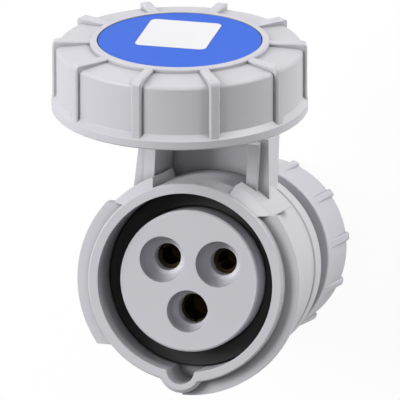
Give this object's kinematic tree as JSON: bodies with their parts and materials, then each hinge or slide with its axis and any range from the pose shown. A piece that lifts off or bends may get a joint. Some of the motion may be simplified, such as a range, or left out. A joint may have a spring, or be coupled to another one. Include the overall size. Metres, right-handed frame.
{
  "type": "industrial socket",
  "caption": "Round cable socket with dished contact holes, hinged lid with a ribbed locking ring, keyed collar and a ribbed gland nut.",
  "frame": {"origin": "centre of the cable outlet at the gland nut's rear face, on which the socket stands", "axes": "+Z along the socket's axis towards the mouth, +Y towards the hinge"},
  "size_m": [0.0806, 0.1242, 0.1602],
  "materials": {
    "front_housing": "moulded",
    "contact_carrier": "moulded",
    "rear_housing": "moulded",
    "gland_nut": "moulded",
    "lid_cap": "moulded",
    "locking_ring": "moulded",
    "blue_disc": "moulded",
    "washer_plastic": "moulded",
    "black_rubber": "moulded",
    "brass": "moulded",
    "steel": "moulded"
  },
  "bodies": {
    "socket": {"front_housing": "front_housing", "contact_carrier": "contact_carrier", "mouth_seal": "black_rubber", "phase_contact": "brass", "neutral_contact": "brass", "earth_contact": "brass", "phase_screws": "steel", "neutral_screws": "steel", "earth_screws": "steel", "carrier_screws": "steel", "housing_gasket": "black_rubber", "rear_housing": "rear_housing", "housing_screws": "steel", "gland_grommet": "black_rubber", "hinge_pin": "steel"},
    "thrust_washer": {"gland_washer": "washer_plastic"},
    "nut": {"gland_nut": "gland_nut"},
    "lid": {"lid_cap": "lid_cap", "lid_seal": "black_rubber", "lid_disc": "blue_disc"},
    "ring": {"locking_ring": "locking_ring"}
  },
  "joints": [
    {"name": "lid_hinge", "type": "hinge", "parent": "socket", "child": "lid", "pos_m": [0, 0.0476, 0.066], "axis": [1, 0, 0], "range_deg": [0, 78]},
    {"name": "ring_turn", "type": "hinge", "parent": "lid", "child": "ring", "pos_m": [0, 0.05824, 0.11693], "axis": [0, -0.9781, -0.2079], "range_deg": [0, 28]},
    {"name": "gland_travel", "type": "slide", "parent": "socket", "child": "thrust_washer", "axis": [0, 0, -1], "range_m": [0, 0.01]},
    {"name": "gland_turn", "type": "hinge", "parent": "thrust_washer", "child": "nut", "pos_m": [0, 0, 0.01], "axis": [0, 0, 1], "range_deg": [0, 1801]}
  ],
  "couplings": [
    {"joint": "gland_turn", "follows": "gland_travel", "rad_per_m": 3141.6}
  ]
}
